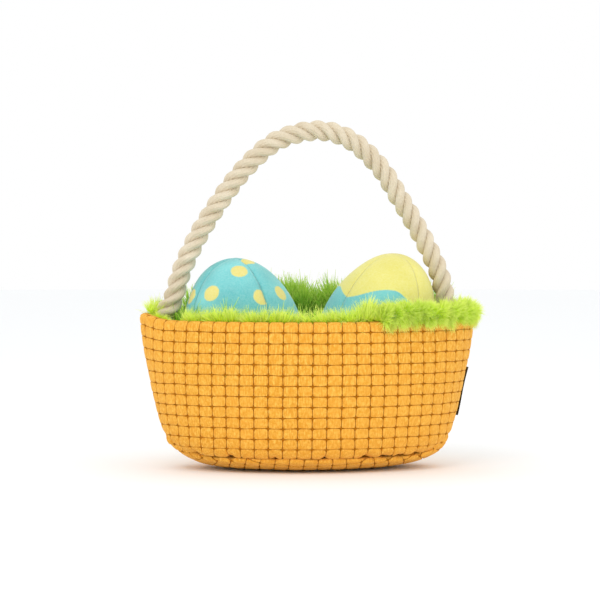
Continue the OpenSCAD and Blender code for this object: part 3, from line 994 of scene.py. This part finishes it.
def grow_pile(roots, tuft, density, seed, clump=0.9):
    """Turns roots into the pile that grows from them, as one mesh."""
    tree = bpy.data.node_groups.new(roots.name + "_growth", "GeometryNodeTree")
    tree.interface.new_socket("Geometry", in_out="INPUT", socket_type="NodeSocketGeometry")
    tree.interface.new_socket("Geometry", in_out="OUTPUT", socket_type="NodeSocketGeometry")

    def add(kind, inputs=(), **settings):
        node = tree.nodes.new(kind)
        for key, value in settings.items():
            setattr(node, key, value)
        for key, value in dict(inputs).items():
            if isinstance(value, bpy.types.NodeSocket):
                tree.links.new(value, node.inputs[key])
            else:
                node.inputs[key].default_value = value
        return node

    def named(name, kind):
        node = add("GeometryNodeInputNamedAttribute", {"Name": name}, data_type=kind)
        return next(out for out in node.outputs if out.enabled)

    def random_between(low, high, number):
        node = add("FunctionNodeRandomValue", data_type="FLOAT")
        node.inputs[2].default_value, node.inputs[3].default_value = low, high
        node.inputs["Seed"].default_value = seed + number
        return node.outputs[1]

    def vector(operation, first, second):
        node = add("ShaderNodeVectorMath", operation=operation)
        for socket, value in zip(node.inputs, (first, second)):
            if isinstance(value, bpy.types.NodeSocket):
                tree.links.new(value, socket)
            else:
                socket.default_value = value
        return node.outputs["Vector"]

    def scaled(first, share):
        node = add("ShaderNodeVectorMath", {"Vector": first, "Scale": share}, operation="SCALE")
        return node.outputs["Vector"]

    start = tree.nodes.new("NodeGroupInput")
    end = tree.nodes.new("NodeGroupOutput")
    thick = add("ShaderNodeMath", operation="MULTIPLY")
    tree.links.new(named("thick", "FLOAT"), thick.inputs[0])
    thick.inputs[1].default_value = density
    points = add("GeometryNodeDistributePointsOnFaces",
                 {"Mesh": start.outputs[0], "Density": thick.outputs[0], "Seed": seed})
    spot = add("GeometryNodeInputPosition").outputs[0]
    swirl = add("ShaderNodeTexNoise", {"Vector": spot, "Scale": 170.0, "Detail": 1.0}).outputs["Color"]
    wild = add("ShaderNodeTexNoise", {"Vector": spot, "Scale": 420.0, "Detail": 1.0}).outputs["Color"]
    comb = vector("ADD", named("comb", "FLOAT_VECTOR"),
                  scaled(vector("SUBTRACT", swirl, (0.5, 0.5, 0.5)), 3.0 * clump))
    comb = vector("ADD", comb, scaled(vector("SUBTRACT", wild, (0.5, 0.5, 0.5)), 1.8 * clump))
    stray = add("FunctionNodeRandomValue", data_type="FLOAT_VECTOR")
    stray.inputs[0].default_value = (-0.3, -0.3, -0.3)
    stray.inputs[1].default_value = (0.3, 0.3, 0.3)
    stray.inputs["Seed"].default_value = seed + 7
    comb = vector("ADD", comb, stray.outputs[0])
    spin = add("ShaderNodeCombineXYZ", {"Z": random_between(0, 2 * math.pi, 1)})
    spun = add("FunctionNodeEulerToRotation", {"Euler": spin.outputs[0]})
    aligned = add("FunctionNodeAlignRotationToVector", {"Rotation": spun.outputs[0], "Vector": comb}, axis="Z")
    lumps = add("ShaderNodeTexNoise", {"Vector": spot, "Scale": 230.0, "Detail": 1.0}).outputs[0]
    uneven = add("ShaderNodeMath", {0: lumps, 1: 1.8, 2: 0.1}, operation="MULTIPLY_ADD")
    long = add("ShaderNodeMath", {0: named("long", "FLOAT"), 1: uneven.outputs[0]}, operation="MULTIPLY")
    tall = add("ShaderNodeMath", {0: long.outputs[0], 1: random_between(0.6, 1.15, 2)}, operation="MULTIPLY")
    tufts = add("GeometryNodeObjectInfo", {"Object": tuft})
    planted = add("GeometryNodeInstanceOnPoints",
                  {"Points": points.outputs["Points"], "Instance": tufts.outputs["Geometry"],
                   "Rotation": aligned.outputs[0], "Scale": tall.outputs[0]})
    shaded = add("GeometryNodeStoreNamedAttribute", {"Geometry": planted.outputs[0], "Name": "shade"},
                 data_type="FLOAT", domain="INSTANCE")
    tree.links.new(random_between(0, 1, 3), next(i for i in shaded.inputs if i.name == "Value" and i.enabled))
    whole = add("GeometryNodeRealizeInstances", {"Geometry": shaded.outputs[0]})
    tip = named("tip", "FLOAT")
    squared = add("ShaderNodeMath", operation="MULTIPLY")
    tree.links.new(tip, squared.inputs[0])
    tree.links.new(tip, squared.inputs[1])
    limp = add("ShaderNodeMath", operation="MULTIPLY_ADD")
    tree.links.new(named("shade", "FLOAT"), limp.inputs[0])
    limp.inputs[1].default_value, limp.inputs[2].default_value = 1.2, 0.3
    hang = add("ShaderNodeMath", operation="MULTIPLY")
    tree.links.new(squared.outputs[0], hang.inputs[0])
    tree.links.new(limp.outputs[0], hang.inputs[1])
    bent = add("GeometryNodeSetPosition",
               {"Geometry": whole.outputs[0], "Offset": scaled(named("droop", "FLOAT_VECTOR"), hang.outputs[0])})
    tree.links.new(bent.outputs[0], end.inputs[0])

    growth = roots.modifiers.new("growth", "NODES")
    growth.node_group = tree
    shown = roots.evaluated_get(bpy.context.evaluated_depsgraph_get())
    grown = bpy.data.meshes.new_from_object(shown)
    roots.modifiers.remove(growth)
    roots.data = grown
    roots.data.name = roots.name
    for key in ("comb", "long", "droop", "thick"):
        if key in grown.attributes:
            grown.attributes.remove(grown.attributes[key])
    return roots


ROLL_RADIUS = 3.4 * MM


def collar_strip(start, end):
    """Where the pile at the rim grows, from the turn start to the turn end."""

    def place(along, across):
        t = start + (end - start) * along
        turn = t % 360
        # Shares of the pile that rolls out over the rim, of the tall pile and of the left end's short pile
        roll = fade(turn, 293.5, 297) if turn > 180 else 1 - fade(turn, 4, 24)
        tall = fade(turn, 15, 40) * (1 - fade(turn, 125, 150)) if turn < 180 else 0
        left = fade(turn, 150, 170) * (1 - fade(turn, 200, 214))
        bare = 1 - fade(turn, 213, 219) if 183 < turn < 230 else 0
        ahead = wall_at(RIM, 0, t + 0.5) - wall_at(RIM, 0, t - 0.5)
        outward = Vector((ahead.y, -ahead.x, 0)).normalized()
        up = Vector((0, 0, 1))
        inner = wall_at(RIM, (11 - 6.2 * across) * MM, t) + up * (5.5 * across - 8 + 3.4 * left) * MM
        inner_comb = up + outward * (0.38 * across - 0.35 - 0.3 * left)
        lean = math.radians(150 - 200 * across)
        way = outward * math.cos(lean) + up * math.sin(lean)
        outer = wall_at(RIM, 3 * MM, t) + up * MM + way * ROLL_RADIUS
        inner_long = 9.5 + 13.5 * tall + 3 * left + 4 * fade(turn, 283, 291)
        outer_long = 4.8 + 3.2 * max(0, math.sin(lean))
        long = inner_long + (outer_long - inner_long) * roll
        long += (3.5 - long) * bare
        droop = (outward * 0.5 * across * (1 - roll) - up * (1 + 1.2 * roll)) * MM
        comb = inner_comb.lerp(way + up * 0.2, roll)
        return inner.lerp(outer, roll), comb, long * MM, droop, 1 + 0.6 * roll

    return place


def nest_strip(along, across):
    """Where the pile of the nest's wall grows."""
    t = 360 * along
    z = (52 + 32 * across) * MM
    a = between(z, NEST_HEIGHTS, NEST_HALF_LENGTHS) - 1.2 * MM
    b = between(z, NEST_HEIGHTS, NEST_HALF_DEPTHS) - 1.2 * MM
    point = oval(a, b, t, NEST_POINT) + Vector((0, 0, z))
    inward = Vector((-point.x, -point.y * 2, 0)).normalized()
    return point, inward * 0.45 + Vector((0, 0, 1)), 16 * MM, Vector((0, 0, -2 * MM)), 0.35 + 0.65 * across


NEST_POINT = -0.2
NEST_HEIGHTS = [height * MM for height in (40, 42, 46, 52, 60, 76, 86)]
NEST_HALF_LENGTHS = [size * MM for size in (50, 60, 67, 71, 74.2, 77.3, 78.8)]
NEST_HALF_DEPTHS = [size * MM for size in (21, 30.5, 37, 41.4, 45, 47.7, 49.5)]


def floor_strip(along, across):
    """Where the pile of the nest's floor grows."""
    x, y = (2 * along - 1) * 52 * MM, (2 * across - 1) * 26 * MM
    return Vector((x, y, 42 * MM)), Vector((0, 0, 1)), 14 * MM, Vector((0, 0, -2 * MM)), 0.6


def grass_pile_look(name, root, body, tips, body_at, tips_from):
    """Acrylic pile that runs from its root's colour through its body's to its tips'; its darker roots are partly the
    pile's own colour and partly painted shade.
    """
    n = Nodes(name)
    tip = n.attribute("tip")
    shade = n.attribute("shade")
    wide = n.noise(n.place(), 60, 2.0)
    # Darker towards the root: partly the pile's own colour, partly painted shade down in the pile.
    low = n.mix(n.remap(tip, 0.0, body_at), root, body)
    colour = n.mix(n.remap(tip, tips_from, 1.0), low, tips)
    colour = n.mix(n.remap(shade, 0.0, 1.0, 0.0, 0.35), colour, body)
    colour = n.mix(n.remap(wide, 0.35, 0.65, 0.0, 0.15), colour, root)
    n.set(Base_Color=colour, Roughness=0.7, Specular_IOR_Level=0.2, Sheen_Weight=0.5, Sheen_Roughness=0.5,
          Sheen_Tint=(0.8, 1.0, 0.35, 1))
    return n.material


def add_grass():
    tuft = blade()
    bright = grass_pile_look("bright_pile", (0.42, 0.76, 0.012), (0.78, 1.0, 0.045), (0.97, 1.0, 0.34), 0.3, 0.4)
    # Painted shade: a darker copy of the bright pile, darkest at its roots, for the pile at the rear and in the nest,
    # which stands in shade.
    shaded_pile_look = grass_pile_look("deep_pile", (0.08, 0.30, 0.002), (0.25, 0.62, 0.006), (0.85, 1.0, 0.22), 0.5, 0.6)
    pile = [
        ("grass_front_left_pile", collar_strip(150, 270), 8, 150, 15e6, bright, None),
        ("grass_front_right_pile", collar_strip(270, 318), 12, 90, 16e6, bright, "grass_pile_front"),
        ("grass_right_end_pile", collar_strip(318, 384), 12, 100, 16e6, bright, None),
        ("grass_rear_pile", collar_strip(24, 150), 8, 170, 16e6, shaded_pile_look, "grass_pile_rear"),
        ("grass_nest_pile", nest_strip, 12, 200, 2.2e6, shaded_pile_look, None),
        ("grass_floor_pile", floor_strip, 20, 40, 1.5e6, shaded_pile_look, "grass_pile_nest"),
    ]
    pieces = []
    for seed, (name, place, rows, columns, density, look, node) in enumerate(pile):
        piece = grow_pile(lay_roots(name, rows, columns, place), tuft, density, 11 + seed)
        finish_piece(piece, look, "basket", [node] if node else [])
        pieces.append(piece)
        print("PILE", name, len(piece.data.polygons), "faces")
    drop(tuft)
    return pieces


def grass_backing(pile):
    """The knitted backing of the grass fabric: the nest's bowl and its flange inside the hem."""
    rings = [(height, a, b) for height, a, b in zip(NEST_HEIGHTS, NEST_HALF_LENGTHS, NEST_HALF_DEPTHS)]
    bm = bmesh.new()
    crease = bm.edges.layers.float.new("crease_edge")
    steps = 96
    ring = bmesh.ops.create_circle(bm, segments=steps, radius=1)["verts"]
    edges = bm.edges[:]
    bmesh.ops.contextual_create(bm, geom=edges)
    turns = [math.degrees(math.atan2(vert.co.y, vert.co.x)) for vert in ring]
    for number, (height, a, b) in enumerate(rings):
        if number:
            grown = bmesh.ops.extrude_edge_only(bm, edges=edges)["geom"]
            new = {g for g in grown if isinstance(g, bmesh.types.BMVert)}
            edges = [g for g in grown if isinstance(g, bmesh.types.BMEdge)]
            ring = [next(e.other_vert(old) for e in old.link_edges if e.other_vert(old) in new) for old in ring]
        for vert, t in zip(ring, turns):
            vert.co = oval(a, b, t, NEST_POINT) + Vector((0, 0, height))
    for edge in edges:
        edge[crease] = 0.8
    grown = bmesh.ops.extrude_edge_only(bm, edges=edges)["geom"]
    new = {g for g in grown if isinstance(g, bmesh.types.BMVert)}
    ring = [next(e.other_vert(old) for e in old.link_edges if e.other_vert(old) in new) for old in ring]
    for vert, t in zip(ring, turns):
        vert.co = wall_at(RIM, HEM_THICK + 0.6 * MM, t)
        vert.co.z = NEST_HEIGHTS[-1] + 0.6 * MM
    bmesh.ops.recalc_face_normals(bm, faces=bm.faces)
    piece = mesh_object("grass_backing", bm)
    smooth_over(piece, 1)
    wall = piece.modifiers.new("thickness", "SOLIDIFY")
    wall.thickness = 0.8 * MM
    wall.offset = -1
    finish_piece(piece, knitted_backing(), "basket", ["grass_lining"])
    return piece


def knitted_backing():
    n = Nodes("knitted_backing")
    place = n.place()
    loops = n.noise(n.mapped(place, scale=(1, 1, 0.4)), 1400, 2.0)
    colour = n.mix(n.remap(loops, 0.35, 0.65), (0.09, 0.27, 0.004), (0.22, 0.50, 0.01))
    n.set(Base_Color=colour, Roughness=0.95, Specular_IOR_Level=0.1, Normal=n.bump(loops, 0.6, 0.3 * MM))
    return n.material


add_camera()
rope_handle()
add_lights()
add_floor()

wall_panel("front_wall_plush", 270, "front_wall_panel")
wall_panel("rear_wall_plush", 90, "rear_wall_panel")
base_panel()
add_egg(DOTTED_EGG)
add_egg(WAVED_EGG)
grass_backing(add_grass())
body_stuffing()
woven_tab()
carry_over(moulded_plastic("bellows_plastic", (0.80, 0.80, 0.78), (0.88, 0.88, 0.87), 0.4),
           "dotted_egg_squeaker", "waved_egg_squeaker")
carry_over(moulded_plastic("reed_plastic", (0.55, 0.58, 0.62), (0.68, 0.71, 0.75), 0.3),
           "dotted_egg_reed", "waved_egg_reed")
carry_over(thread_look("white_thread", (0.72, 0.72, 0.70), (0.90, 0.90, 0.88)),
           "dotted_egg_tack_thread", "waved_egg_tack_thread", "rope_end_whippings")
carry_over(thread_look("orange_thread", (0.62, 0.26, 0.03), (0.88, 0.44, 0.07)), "rope_tack_threads")
